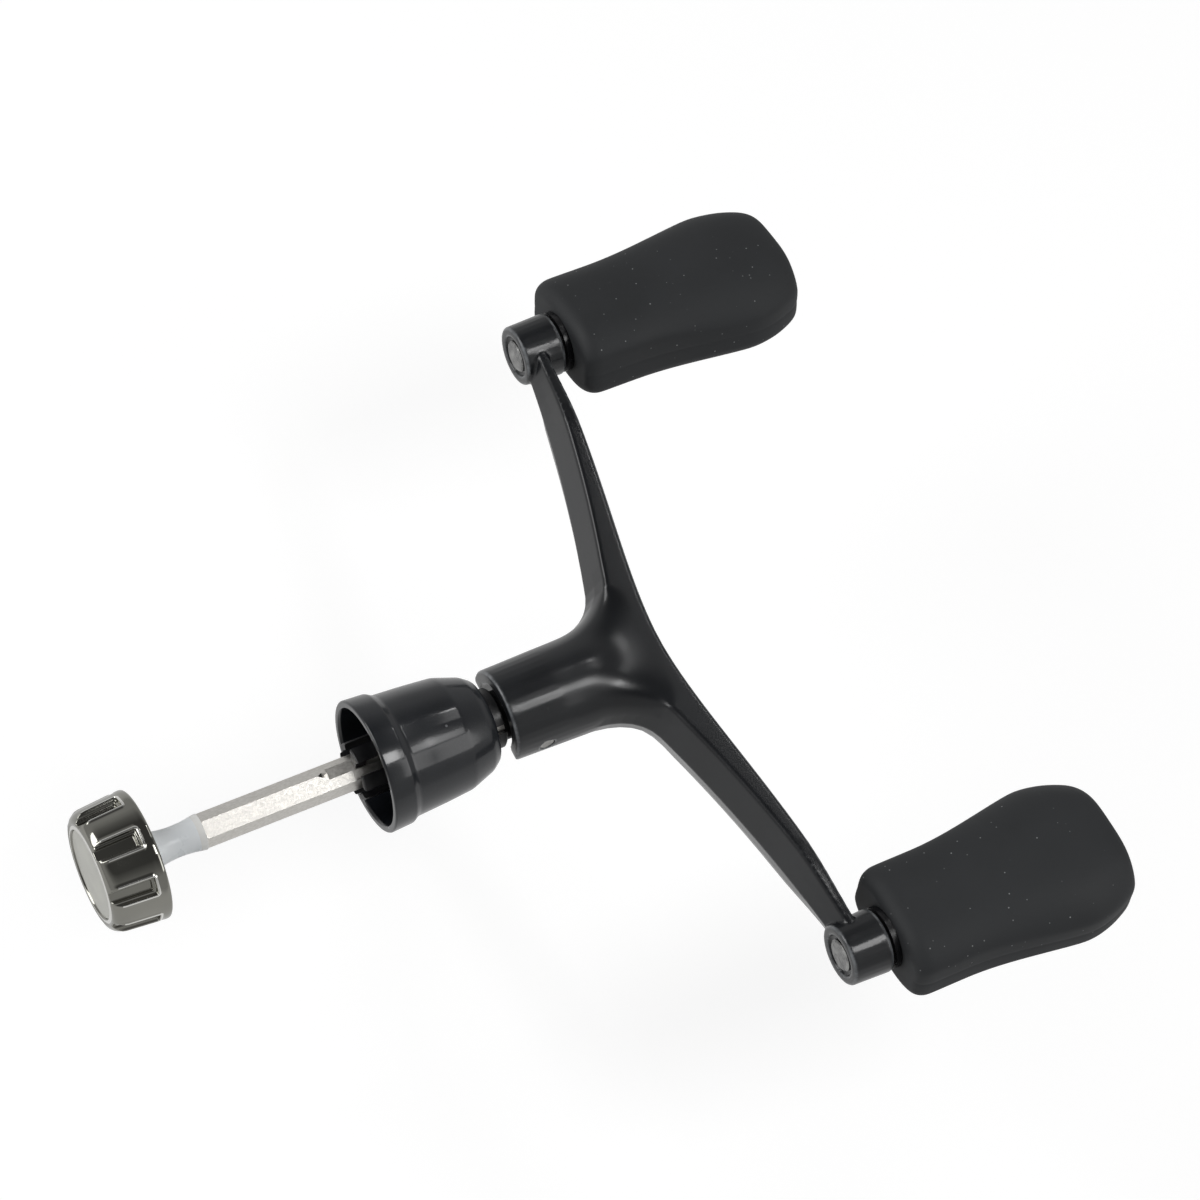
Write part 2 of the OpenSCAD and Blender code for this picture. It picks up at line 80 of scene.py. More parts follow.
def applyModifiers(piece):
    makeActive(piece)
    for modifier in list(piece.modifiers):
        bpy.ops.object.modifier_apply(modifier=modifier.name)


def copyNode(name, node):
    # A node's mesh is loose triangles, so a copy of it is joined at its points
    piece = bpy.data.objects.new(name, frame["nodes"][node].data.copy())
    bpy.context.scene.collection.objects.link(piece)
    makeActive(piece)
    bpy.ops.object.mode_set(mode="EDIT")
    bpy.ops.mesh.select_all(action="SELECT")
    bpy.ops.mesh.remove_doubles(threshold=solidWeld)
    bpy.ops.object.mode_set(mode="OBJECT")
    return piece


def loftRings(name, rings):
    # A circle is extruded from ring to ring, and each new ring is pulled to its own points
    clearSelection()
    count = len(rings[0])
    bpy.ops.mesh.primitive_circle_add(vertices=count, radius=mm, fill_type="NOTHING")
    piece = bpy.context.object
    piece.name = name
    bpy.ops.object.mode_set(mode="EDIT")
    order = list(range(count))
    for step, points in enumerate(rings):
        if step:
            bpy.ops.mesh.extrude_edges_move()
        mesh = bmesh.from_edit_mesh(piece.data)
        mesh.verts.ensure_lookup_table()
        if step:
            fresh = []
            for index in order:
                vertex = mesh.verts[index]
                ends = [edge.other_vert(vertex) for edge in vertex.link_edges]
                fresh.append(next(end.index for end in ends if end.select))
            order = fresh
        for index, point in zip(order, points):
            mesh.verts[index].co = Vector(point) * mm
        bmesh.update_edit_mesh(piece.data)
    bpy.ops.mesh.select_all(action="SELECT")
    bpy.ops.mesh.remove_doubles(threshold=ringWeld)
    bpy.ops.mesh.normals_make_consistent(inside=False)
    bpy.ops.object.mode_set(mode="OBJECT")
    return piece


def roundedLine(corners, steps):
    # Corners are (x, radius, rounding), and each corner with a rounding becomes a short arc
    line = []
    most = 0.48  # the share of a side that one arc may take
    for i, (x, r, rounding) in enumerate(corners):
        here = Vector((x, r))
        before = Vector(corners[i - 1][:2])
        after = Vector(corners[(i + 1) % len(corners)][:2])
        if not rounding:
            line.append(here)
            continue
        start = here + (before - here).normalized() * min(rounding, (before - here).length * most)
        end = here + (after - here).normalized() * min(rounding, (after - here).length * most)
        for k in range(steps + 1):
            t = k / steps
            line.append(start * (1 - t) ** 2 + here * 2 * t * (1 - t) + end * t * t)
    return line


def turnPiece(name, corners, segments, steps, solid=False):
    # The profile is turned about X: a closed loop makes a ring, and a solid's ends lie on the axis
    line = roundedLine(corners, steps)
    rings = []
    for point in line + ([] if solid else [line[0]]):
        ring = []
        for k in range(segments):
            a = 2 * math.pi * k / segments
            ring.append((point.x, point.y * math.cos(a), point.y * math.sin(a)))
        rings.append(ring)
    return loftRings(name, rings)


def smoothStep(t):
    t = min(1.0, max(0.0, t))
    return t * t * (3 - 2 * t)


# Materials

def startMaterial(name):
    material = bpy.data.materials.new(name)
    material.use_nodes = True
    nodes = material.node_tree.nodes
    links = material.node_tree.links
    shader = nodes["Principled BSDF"]
    place = nodes.new("ShaderNodeTexCoord")
    return material, nodes, links, shader, place


def addNoise(nodes, links, place, scale, detail, stretch=None):
    noise = nodes.new("ShaderNodeTexNoise")
    noise.inputs["Scale"].default_value = scale
    noise.inputs["Detail"].default_value = detail
    if stretch:
        mapping = nodes.new("ShaderNodeMapping")
        mapping.inputs["Scale"].default_value = stretch
        links.new(place.outputs["Object"], mapping.inputs["Vector"])
        links.new(mapping.outputs["Vector"], noise.inputs["Vector"])
    else:
        links.new(place.outputs["Object"], noise.inputs["Vector"])
    return noise


def addRange(nodes, links, source, low, high, fromLow=0.35, fromHigh=0.65):
    spread = nodes.new("ShaderNodeMapRange")
    spread.inputs["From Min"].default_value = fromLow
    spread.inputs["From Max"].default_value = fromHigh
    spread.inputs["To Min"].default_value = low
    spread.inputs["To Max"].default_value = high
    links.new(source, spread.inputs["Value"])
    return spread


def addMix(nodes, links, factor, first, second):
    mix = nodes.new("ShaderNodeMix")
    mix.data_type = "RGBA"
    links.new(factor, mix.inputs["Factor"])
    for socket, value in (("A", first), ("B", second)):
        target = [s for s in mix.inputs if s.name == socket and s.type == "RGBA"][0]
        if isinstance(value, tuple):
            target.default_value = (*value, 1)
        else:
            links.new(value, target)
    return [s for s in mix.outputs if s.type == "RGBA"][0]


def addBump(nodes, links, shader, height, strength, distance):
    bump = nodes.new("ShaderNodeBump")
    bump.inputs["Strength"].default_value = strength
    bump.inputs["Distance"].default_value = distance
    links.new(height, bump.inputs["Height"])
    links.new(bump.outputs["Normal"], shader.inputs["Normal"])


finishPlan = {"speckCore": 0.6, "wearAndHighlightScale": 700, "wearAndHighlightLeast": 0.35, "bumpDepth": 0.00002}


def makeFinish(name, look, plan):
    # Two tones and two roughnesses wander over the surface, with a fine bump
    material, nodes, links, shader, place = startMaterial(name)
    tone = addNoise(nodes, links, place, look["toneScale"], 4.0, look.get("stretch"))
    share = addRange(nodes, links, tone.outputs["Fac"], 0, 1)
    colour = addMix(nodes, links, share.outputs["Result"], look["toneOne"], look["toneTwo"])
    if "flakeScale" in look:
        flake = nodes.new("ShaderNodeTexVoronoi")
        flake.inputs["Scale"].default_value = look["flakeScale"]
        links.new(place.outputs["Object"], flake.inputs["Vector"])
        bright = addRange(nodes, links, flake.outputs["Distance"], 1, 0, 0.0, look["flakeSize"])
        colour = addMix(nodes, links, bright.outputs["Result"], colour, look["flakeTone"])
    if "speckScale" in look:
        # A few small cells of the pattern become pale dust
        cells = nodes.new("ShaderNodeTexVoronoi")
        cells.inputs["Scale"].default_value = look["speckScale"]
        links.new(place.outputs["Object"], cells.inputs["Vector"])
        core = look["speckSize"] * plan["speckCore"]
        dot = addRange(nodes, links, cells.outputs["Distance"], 1, 0, core, look["speckSize"])
        draw = nodes.new("ShaderNodeSeparateColor")
        links.new(cells.outputs["Color"], draw.inputs["Color"])
        few = addRange(nodes, links, draw.outputs["Red"], 0, 1, 1 - look["speckShare"], 1)
        both = nodes.new("ShaderNodeMath")
        both.operation = "MULTIPLY"
        links.new(dot.outputs["Result"], both.inputs[0])
        links.new(few.outputs["Result"], both.inputs[1])
        colour = addMix(nodes, links, both.outputs[0], colour, look["speckTone"])
    if "wearAndHighlightTone" in look:
        # Lighter along the outer edges, more in some places than in others: partly paint rubbed thin, partly
        # a painted highlight on the edges
        edge = nodes.new("ShaderNodeAttribute")
        edge.attribute_name = "edgeWearAndHighlight"
        patch = addNoise(nodes, links, place, plan["wearAndHighlightScale"], 3.0)
        amount = addRange(nodes, links, patch.outputs["Fac"], plan["wearAndHighlightLeast"], 1)
        wornAndLit = nodes.new("ShaderNodeMath")
        wornAndLit.operation = "MULTIPLY"
        links.new(edge.outputs["Fac"], wornAndLit.inputs[0])
        links.new(amount.outputs["Result"], wornAndLit.inputs[1])
        colour = addMix(nodes, links, wornAndLit.outputs[0], colour, look["wearAndHighlightTone"])
    links.new(colour, shader.inputs["Base Color"])
    rough = addRange(nodes, links, tone.outputs["Fac"], look["roughOne"], look["roughTwo"])
    links.new(rough.outputs["Result"], shader.inputs["Roughness"])
    grain = addNoise(nodes, links, place, look["grainScale"], 2.0, look.get("stretch"))
    addBump(nodes, links, shader, grain.outputs["Fac"], look["grain"], plan["bumpDepth"])
    shader.inputs["Metallic"].default_value = look.get("metallic", 0)
    shader.inputs["Specular IOR Level"].default_value = look.get("gloss", 0.5)
    shader.inputs["Coat Weight"].default_value = look.get("coat", 0)
    shader.inputs["Coat Roughness"].default_value = look.get("coatRough", 0.1)
    shader.inputs["Transmission Weight"].default_value = look.get("clear", 0)
    return material


finishes = {
    "crankPaint": {"toneOne": (0.0052, 0.0059, 0.0073), "toneTwo": (0.009, 0.0102, 0.0122), "toneScale": 120,
        "flakeScale": 6000, "flakeSize": 0.22, "flakeTone": (0.019, 0.021, 0.026), "roughOne": 0.3,
        "roughTwo": 0.38, "grainScale": 420, "grain": 0.1, "gloss": 0.22, "coat": 0.6, "coatRough": 0.2,
        # The edge colour below is rubbed paint and a painted edge highlight together
        "wearAndHighlightTone": (0.2, 0.21, 0.22),
        "speckScale": 260, "speckSize": 0.06, "speckShare": 0.12, "speckTone": (0.2, 0.2, 0.21)},
    "collarPaint": {"toneOne": (0.0072, 0.0084, 0.0108), "toneTwo": (0.012, 0.0138, 0.017), "toneScale": 140,
        "flakeScale": 5000, "flakeSize": 0.24, "flakeTone": (0.03, 0.033, 0.04), "roughOne": 0.28,
        "roughTwo": 0.36, "grainScale": 900, "grain": 0.35, "gloss": 0.28, "coat": 0.65, "coatRough": 0.1,
        "speckScale": 420, "speckSize": 0.09, "speckShare": 0.2, "speckTone": (0.22, 0.23, 0.24)},
    "sleeveBlack": {"toneOne": (0.006, 0.006, 0.007), "toneTwo": (0.011, 0.011, 0.012), "toneScale": 400,
        "roughOne": 0.3, "roughTwo": 0.5, "grainScale": 3000, "grain": 0.25},
    "gripRubber": {"toneOne": (0.0205, 0.022, 0.0238), "toneTwo": (0.0265, 0.0283, 0.0305), "toneScale": 90,
        "roughOne": 0.6, "roughTwo": 0.72, "grainScale": 4200, "grain": 0.25, "gloss": 0.35,
        "speckScale": 1150, "speckSize": 0.13, "speckShare": 0.34, "speckTone": (0.26, 0.265, 0.27)},
    "plugRubber": {"toneOne": (0.010, 0.0105, 0.012), "toneTwo": (0.014, 0.015, 0.0165), "toneScale": 200,
        "roughOne": 0.6, "roughTwo": 0.75, "grainScale": 4000, "grain": 0.3, "gloss": 0.35},
    "corePlastic": {"toneOne": (0.004, 0.004, 0.005), "toneTwo": (0.008, 0.008, 0.009), "toneScale": 300,
        "roughOne": 0.22, "roughTwo": 0.32, "grainScale": 1500, "grain": 0.06, "gloss": 0.35},
    # Dark steel, painted as shade inside the stem and in the punch mark
    "shaftPaintedShade": {"toneOne": (0.02, 0.02, 0.021), "toneTwo": (0.035, 0.035, 0.036), "toneScale": 800,
        "roughOne": 0.35, "roughTwo": 0.5, "grainScale": 3000, "grain": 0.2, "metallic": 0.6},
    "shaftNickel": {"toneOne": (0.66, 0.64, 0.60), "toneTwo": (0.80, 0.78, 0.745), "toneScale": 3600,
        "stretch": (0.6, 1, 1), "roughOne": 0.38, "roughTwo": 0.5, "grainScale": 5200, "grain": 0.35,
        "metallic": 1},
    "capChrome": {"toneOne": (0.275, 0.272, 0.245), "toneTwo": (0.31, 0.306, 0.275), "toneScale": 150,
        "roughOne": 0.05, "roughTwo": 0.11, "grainScale": 420, "grain": 0.08, "metallic": 1},
    # A brighter chrome, painted on the cap's beads and ring as a highlight
    "capPaintedHighlight": {"toneOne": (0.78, 0.775, 0.74), "toneTwo": (0.86, 0.855, 0.82), "toneScale": 150,
        "roughOne": 0.1, "roughTwo": 0.18, "grainScale": 420, "grain": 0.05, "metallic": 1},
    "capFace": {"toneOne": (0.58, 0.58, 0.535), "toneTwo": (0.65, 0.65, 0.60), "toneScale": 300,
        "roughOne": 0.36, "roughTwo": 0.44, "grainScale": 6000, "grain": 0.15, "metallic": 1},
    "rivetSteel": {"toneOne": (0.16, 0.16, 0.16), "toneTwo": (0.42, 0.42, 0.41), "toneScale": 900,
        "roughOne": 0.24, "roughTwo": 0.42, "grainScale": 2200, "grain": 0.5, "metallic": 1},
    "pinSteel": {"toneOne": (0.30, 0.30, 0.29), "toneTwo": (0.5, 0.49, 0.47), "toneScale": 700,
        "roughOne": 0.3, "roughTwo": 0.45, "grainScale": 3000, "grain": 0.3, "metallic": 1},
    "bushBrass": {"toneOne": (0.62, 0.5, 0.27), "toneTwo": (0.72, 0.6, 0.36), "toneScale": 400,
        "stretch": (3, 1, 1), "roughOne": 0.2, "roughTwo": 0.3, "grainScale": 1800, "grain": 0.15,
        "metallic": 1},
    "sleeveClear": {"toneOne": (0.88, 0.92, 0.945), "toneTwo": (0.94, 0.965, 0.98), "toneScale": 220,
        "roughOne": 0.25, "roughTwo": 0.38, "grainScale": 700, "grain": 0.05, "clear": 0.04},
    "sleeveThin": {"toneOne": (0.93, 0.93, 0.90), "toneTwo": (0.97, 0.97, 0.95), "toneScale": 220,
        "roughOne": 0.2, "roughTwo": 0.3, "grainScale": 700, "grain": 0.05, "clear": 0.08},
}
materials = {name: makeFinish(name, look, finishPlan) for name, look in finishes.items()}
print("materials made:", len(materials))


def dress(piece, finish):
    piece.data.materials.clear()
    piece.data.materials.append(materials[finish])


# These nodes keep their solid's mesh; the others get a piece of their own below
nodeFinish = {
    "collar_sleeve": "sleeveBlack", "cap_screw": "pinSteel",
    "far_spindle": "rivetSteel", "near_spindle": "rivetSteel",
    "far_washer": "sleeveBlack", "near_washer": "sleeveBlack",
    "far_inner_bush": "bushBrass", "near_inner_bush": "bushBrass",
    "far_outer_bush": "bushBrass", "near_outer_bush": "bushBrass",
    "far_screw": "pinSteel", "near_screw": "pinSteel",
    "far_core": "corePlastic", "near_core": "corePlastic",
    "far_plug": "plugRubber", "near_plug": "plugRubber",
}
for nodeName, finish in nodeFinish.items():
    dress(frame["nodes"][nodeName], finish)
print("solids dressed:", len(nodeFinish))


# Crank casting: the solid with its edges and joints run smooth, as a cast and painted part

crankPlan = {
    "voxel": 0.00017, "smoothing": 4, "keepShare": 0.4,
    "hubSmoothing": 900, "hubFrom": 24.5, "hubFromFade": 4, "hubTo": 38.7, "hubToFade": 1.6,
    "hubHalfWidth": 9, "hubWidthFade": 3, "hubAbove": 1.5, "hubAboveFade": 2,
    # The next values set where the edges take the lighter colour, rubbed paint and painted highlight
    # together
    "wearAndHighlightFrom": 0.045, "wearAndHighlightTo": 0.082, "wearAndHighlightRounds": 3,
}


def markEdges(piece, plan):
    # Each point learns how far it stands out from its neighbours, so that its edges can show rubbed paint
    # and a painted highlight
    mesh = bmesh.new()
    mesh.from_mesh(piece.data)
    mesh.verts.ensure_lookup_table()
    near = [[edge.other_vert(vertex).index for edge in vertex.link_edges] for vertex in mesh.verts]
    values = []
    for vertex, ends in zip(mesh.verts, near):
        reach = sum((vertex.co - mesh.verts[end].co).length for end in ends) / len(ends)
        rise = sum((vertex.co - mesh.verts[end].co).dot(vertex.normal) for end in ends) / len(ends)
        values.append(rise / reach)
    for _ in range(plan["wearAndHighlightRounds"]):
        values = [(value + sum(values[end] for end in ends)) / (len(ends) + 1)
            for value, ends in zip(values, near)]
    mesh.free()
    low, high = plan["wearAndHighlightFrom"], plan["wearAndHighlightTo"]
    values = [smoothStep((value - low) / (high - low)) for value in values]
    wear = piece.data.attributes.new("edgeWearAndHighlight", "FLOAT", "POINT")
    wear.data.foreach_set("value", values)


def makeCrank(plan):
    casting = copyNode("crankCasting", "crank_arm")
    remesh = casting.modifiers.new("remesh", "REMESH")
    remesh.mode = "VOXEL"
    remesh.voxel_size = plan["voxel"]
    remesh.use_smooth_shade = True
    applyModifiers(casting)
    # The top of the hub is smoothed much more, so that the stem's crest runs out softly
    group = casting.vertex_groups.new(name="hub")
    for vertex in casting.data.vertices:
        x, y, z = vertex.co / mm
        share = smoothStep((x - plan["hubFrom"]) / plan["hubFromFade"])
        share *= smoothStep((plan["hubHalfWidth"] - abs(y)) / plan["hubWidthFade"])
        fade = smoothStep((plan["hubTo"] - x) / plan["hubToFade"])
        fade *= smoothStep((z - plan["hubAbove"]) / plan["hubAboveFade"])
        if share * fade > 0:
            group.add([vertex.index], share * fade, "REPLACE")
    soften = casting.modifiers.new("soften", "SMOOTH")
    soften.factor = 0.5
    soften.iterations = plan["smoothing"]
    hub = casting.modifiers.new("hub", "SMOOTH")
    hub.factor = 0.5
    hub.iterations = plan["hubSmoothing"]
    hub.vertex_group = "hub"
    thin = casting.modifiers.new("thin", "DECIMATE")
    thin.ratio = plan["keepShare"]
    applyModifiers(casting)
    casting.vertex_groups.clear()
    markEdges(casting, plan)
    dress(casting, "crankPaint")
    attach(casting, "crank")
    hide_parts("crank_arm")
    print("crank casting:", len(casting.data.polygons), "faces")


makeCrank(crankPlan)


# Rubber grips: a tube of rings through the whole grip, bore and plug seat, then subdivided

gripPlan = {
    "start": 49.1, "length": 31.4, "crankRadius": 45.0,
    # The outline as shares of the length: where it widens, draws in and thickens, and over how much
    "innerWidth": 16.3, "outerWidth": 21.2, "widenFrom": 0.232, "widenOver": 0.657,
    "drawIn": 0.127, "drawInFrom": 0.735, "drawInOver": 0.217,
    "innerThickness": 11.4, "outerThickness": 12.9, "thickenFrom": 0.2, "thickenOver": 0.5,
    # The section: a side with a seam, a shoulder and a crown
    "innerSide": 6.2, "outerSide": 5.0, "sideMiddle": 0.62, "shoulder": 0.95, "shoulderIn": 0.06,
    "crown": 3.5, "crownSteps": 8, "crownSpread": 0.62, "seamDepth": 0.1, "seamWidth": 0.35,
    # The ends: how long the rounding is, and what it takes off the width and the thickness
    "innerRound": 2.3, "innerDropWide": 1.25, "innerDropThick": 1.9,
    "outerRound": 4.6, "outerDropWide": 2.5, "outerDropThick": 1.3, "straightSteps": 16,
    # The inside; a ring close to an edge holds it when the piece is subdivided
    "bore": 3.72, "plugSeat": 4.2, "plugDepth": 1.8, "edgeHold": 0.1, "seatHold": 0.12,
    "rimShares": (0.08, 0.85), "mouthShare": 0.9, "subdivide": 2,
}


def gripSection(plan, width, thick, side, x):
    # Half width, half thickness and half height of the straight side, all round the section
    quarter = [(width - plan["seamDepth"], 0.0), (width, plan["seamWidth"])]
    quarter += [(width, side * plan["sideMiddle"]), (width - plan["shoulderIn"], side * plan["shoulder"])]
    for k in range(1, plan["crownSteps"] + 1):
        y = (1 - k / plan["crownSteps"]) ** plan["crownSpread"]
        quarter.append((width * y, side + (thick - side) * (1 - y ** plan["crown"])))
    ring = [(y, z) for y, z in quarter]
    ring += [(-y, z) for y, z in reversed(quarter[:-1])]
    ring += [(-y, -z) for y, z in quarter[1:]]
    ring += [(y, -z) for y, z in reversed(quarter[1:-1])]
    return [(x, y, z) for y, z in ring]


def turnAndMove(ring, turn, centreY):
    c, s = math.cos(math.radians(turn)), math.sin(math.radians(turn))
    return [(x, centreY + y * c - z * s, y * s + z * c) for x, y, z in ring]


def makeGrip(name, plan, side, turn, body, node):
    start, length = plan["start"], plan["length"]
    end = start + length

    def quarterRound(t):
        return 1 - math.sqrt(max(0.0, 1 - (1 - t) ** 2))

    stations = [start + plan["innerRound"] * (1 - math.cos(math.radians(a))) for a in range(0, 91, 15)]
    straight, steps = length - plan["innerRound"] - plan["outerRound"], plan["straightSteps"]
    stations += [start + plan["innerRound"] + straight * i / steps for i in range(1, steps + 1)]
    stations += [end - plan["outerRound"] * (1 - math.sin(math.radians(a))) for a in range(12, 91, 13)]
    rings = []
    for x in stations:
        u = (x - start) / length
        head = min(1.0, (x - start) / plan["innerRound"])
        tail = min(1.0, (end - x) / plan["outerRound"])
        widen = smoothStep((u - plan["widenFrom"]) / plan["widenOver"])
        width = (plan["innerWidth"] + (plan["outerWidth"] - plan["innerWidth"]) * widen) / 2
        width *= 1 - plan["drawIn"] * smoothStep((u - plan["drawInFrom"]) / plan["drawInOver"])
        grow = smoothStep((u - plan["thickenFrom"]) / plan["thickenOver"])
        full = (plan["innerThickness"] + (plan["outerThickness"] - plan["innerThickness"]) * grow) / 2
        sideHalf = (plan["innerSide"] + (plan["outerSide"] - plan["innerSide"]) * grow) / 2
        thick = full - plan["innerDropThick"] * quarterRound(head)
        thick -= plan["outerDropThick"] * quarterRound(tail)
        width -= plan["innerDropWide"] * quarterRound(head) + plan["outerDropWide"] * quarterRound(tail)
        rings.append(gripSection(plan, width, thick, sideHalf * thick / full, x))
    rim, mouth = rings[-1], rings[0]

    def circleLike(ring, radius, x):
        points = []
        for _, y, z in ring:
            a = math.atan2(z, y)
            points.append((x, radius * math.cos(a), radius * math.sin(a)))
        return points

    def between(first, second, share):
        return [tuple(a + (b - a) * share for a, b in zip(p, q)) for p, q in zip(first, second)]

    seat = circleLike(rim, plan["plugSeat"], end)
    hold, floor = plan["edgeHold"], end - plan["plugDepth"]
    rings += [between(rim, seat, share) for share in plan["rimShares"]]
    rings.append(seat)
    for x in (end - plan["seatHold"], floor + hold, floor):
        rings.append(circleLike(rim, plan["plugSeat"], x))
    for x in (floor, floor - hold, end - 10, end - 20, start + hold, start):
        rings.append(circleLike(rim, plan["bore"], x))
    rings += [between(circleLike(mouth, plan["bore"], start), mouth, plan["mouthShare"]), mouth]
    rings = [turnAndMove(ring, turn, side * plan["crankRadius"]) for ring in rings]
    grip = loftRings(name, rings)
    divide = grip.modifiers.new("divide", "SUBSURF")
    divide.levels = divide.render_levels = plan["subdivide"]
    applyModifiers(grip)
    smoothShade(grip, 60)
    dress(grip, "gripRubber")
    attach(grip, body)
    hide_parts(node)
    print("soft grip:", len(grip.data.polygons), "faces")


makeGrip("farSoftGrip", gripPlan, 1, -17, "far_knob", "far_grip")
makeGrip("nearSoftGrip", gripPlan, -1, -8, "near_knob", "near_grip")


# Collar: a turned bell with soft shoulders and a stepped rim

collarPlan = {
    "outside": [(0.0, 8.44, 0.1), (0.16, 8.6, 0.1), (2.95, 8.43, 0.16), (3.8, 7.92, 0.3), (8.0, 7.66, 1.5),
        (11.6, 7.33, 0.35), (14.75, 6.24, 0.3), (15.75, 5.52, 0.12), (15.9, 5.36, 0.08)],
    "inside": [(15.9, 3.92, 0.0), (13.3, 3.92, 0.0), (13.3, 6.1, 0.4), (12.1, 6.7, 0.5), (8.3, 7.2, 0.8),
        (0.35, 7.6, 0.12), (0.0, 7.74, 0.08)],
}


def makeCollar(plan):
    bell = turnPiece("collarBell", plan["outside"] + plan["inside"], segments=128, steps=4)
    smoothShade(bell, 50)
    dress(bell, "collarPaint")
    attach(bell, "collar")
    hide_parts("collar_shell")
    print("collar bell:", len(bell.data.polygons), "faces")


makeCollar(collarPlan)


# Screw cap: the turned body sinks into eight squared troughs, each with a bead round it and a ledge inside

capPlan = {
    "back": -29.1, "front": -36.3, "backRadius": 8.18, "frontRadius": 7.7,
    "wallFrom": 1.6, "wallLength": 5.6,
    "count": 8, "turn": 0.12, "halfWidth": 1.15, "closedEnd": -30.7, "cornerRound": 0.16,
    "bead": 0.13, "ledge": 0.38, "depth": 0.86, "troughRadius": 8, "troughOutside": 6.3,
    "beadFrom": 0.5, "beadFade": 0.9, "bore": 1.46, "boreDepth": 4.8, "seat": 5.71, "seatFloor": 2.65,
    # The trough's height by the distance from its outline: floor, ledge, bead and wall
    "floorAt": -0.46, "ledgeAt": -0.3, "lipAt": -0.06, "lipRise": 0.03, "beadAt": (0.08, 0.17, 0.28),
    "beadShares": (0.85, 1, 0.8), "wallAt": 0.45,
    # The front shoulder as (behind the front, radius)
    "shoulder": [(0, 5.8), (0, 5.92), (0.01, 6.04), (0.06, 6.14), (0.11, 6.22), (0.08, 6.32), (0.04, 6.42),
        (0.04, 6.56), (0.1, 6.78), (0.22, 7.0), (0.4, 7.2), (0.62, 7.37), (0.88, 7.51), (1.2, 7.62),
        (1.6, 7.7)],
    "wallStations": (-34.2, -33.6, -33.0, -32.4),
    "backEdge": [(-30.0, 8.16), (-29.7, 8.2), (-29.4, 8.2), (-29.22, 8.13), (-29.12, 8.0), (-29.1, 7.8),
        (-29.1, 2.9), (-29.1, 1.46)],
    # Steps across a trough from its middle, and along it from its closed end
    "acrossSteps": [0, 0.35, 0.62, 0.7, 0.76, 0.82, 0.88, 0.97, 1.06, 1.12, 1.17, 1.22, 1.28, 1.34, 1.41,
        1.5, 1.6, 1.9, 2.4, 2.9],
    "endSteps": [-1.1, -0.8, -0.6, -0.46, -0.4, -0.34, -0.28, -0.2, -0.1, -0.03, 0.02, 0.07, 0.13, 0.19,
        0.26, 0.35, 0.45],
    # Painted highlight: a brighter chrome on the beads, and on the ring round the disc
    "paintedHighlightFrom": 0.9, "paintedHighlightTo": -30.1, "paintedHighlightRise": 0.035,
    "ringDepth": 0.12, "ringFrom": 5.8, "ringTo": 6.2,
}


def troughHeight(plan, distance):
    # Distance is negative inside the trough's outline
    steps = [(plan["floorAt"], -plan["depth"]), (plan["ledgeAt"], -plan["ledge"]),
        (plan["lipAt"], -plan["ledge"] + plan["lipRise"])]
    steps += [(at, plan["bead"] * share) for at, share in zip(plan["beadAt"], plan["beadShares"])]
    steps.append((plan["wallAt"], 0.0))
    if distance <= steps[0][0]:
        return steps[0][1]
    for (d0, h0), (d1, h1) in zip(steps, steps[1:]):
        if distance <= d1:
            return h0 + (h1 - h0) * smoothStep((distance - d0) / (d1 - d0))
    return 0.0


def makeCap(plan):
    front, closedEnd = plan["front"], plan["closedEnd"]
    start = (plan["back"] - plan["boreDepth"], plan["bore"])

    def wall(x):
        share = (plan["backRadius"] - plan["frontRadius"]) * (x - front - plan["wallFrom"])
        return plan["frontRadius"] + share / plan["wallLength"]

    line = [start, (front + 1, plan["seatFloor"])]
    line += [(front + behind, plan["seat"]) for behind in (1, 0.6, 0.06)]
    line += [(front + behind, r) for behind, r in plan["shoulder"]]
    line += [(x, wall(x)) for x in plan["wallStations"]]
    line += [(closedEnd + step, wall(closedEnd + step)) for step in plan["endSteps"]]
    line += plan["backEdge"]
    line.append(start)
    half = 180 / plan["count"]
    offsets = [-half]
    offsets += [-math.degrees(step / plan["troughRadius"]) for step in reversed(plan["acrossSteps"][1:])]
    offsets += [math.degrees(step / plan["troughRadius"]) for step in plan["acrossSteps"]]
    rings = []
    for x, r in line:
        ring = []
        outside = r > plan["troughOutside"]
        for i in range(plan["count"]):
            middle = (i + plan["turn"]) * 2 * half
            for offset in offsets:
                radius = r
                if outside:
                    aside = abs(math.radians(offset)) * plan["troughRadius"]
                    across = aside - plan["halfWidth"] + plan["cornerRound"]
                    along = x - closedEnd + plan["cornerRound"]
                    outer = math.hypot(max(across, 0), max(along, 0))
                    distance = outer + min(max(across, along), 0) - plan["cornerRound"]
                    height = troughHeight(plan, distance)
                    if height < 0:
                        radius = min(r, wall(x) + height)
                    else:
                        radius = r + height * smoothStep((x - front - plan["beadFrom"]) / plan["beadFade"])
                a = math.radians(middle + offset)
                ring.append((x, -radius * math.sin(a), radius * math.cos(a)))
        rings.append(ring)
    body = loftRings("gripCap", rings)
    smoothShade(body, 70)
    dress(body, "capChrome")
    # The beads and the ring round the disc get the brighter chrome as a painted highlight
    body.data.materials.append(materials["capPaintedHighlight"])
    for face in body.data.polygons:
        x, y, z = face.center / mm
        r = math.hypot(y, z)
        onBead = front + plan["paintedHighlightFrom"] < x < plan["paintedHighlightTo"] and r > wall(x) + plan["paintedHighlightRise"]
        if onBead or (x < front + plan["ringDepth"] and plan["ringFrom"] < r < plan["ringTo"]):
            face.material_index = 1
    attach(body, "cap")
    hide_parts("cap_body")
    print("grip cap:", len(body.data.polygons), "faces")


makeCap(capPlan)


# Disc: let into the cap's face, with a fine turned edge

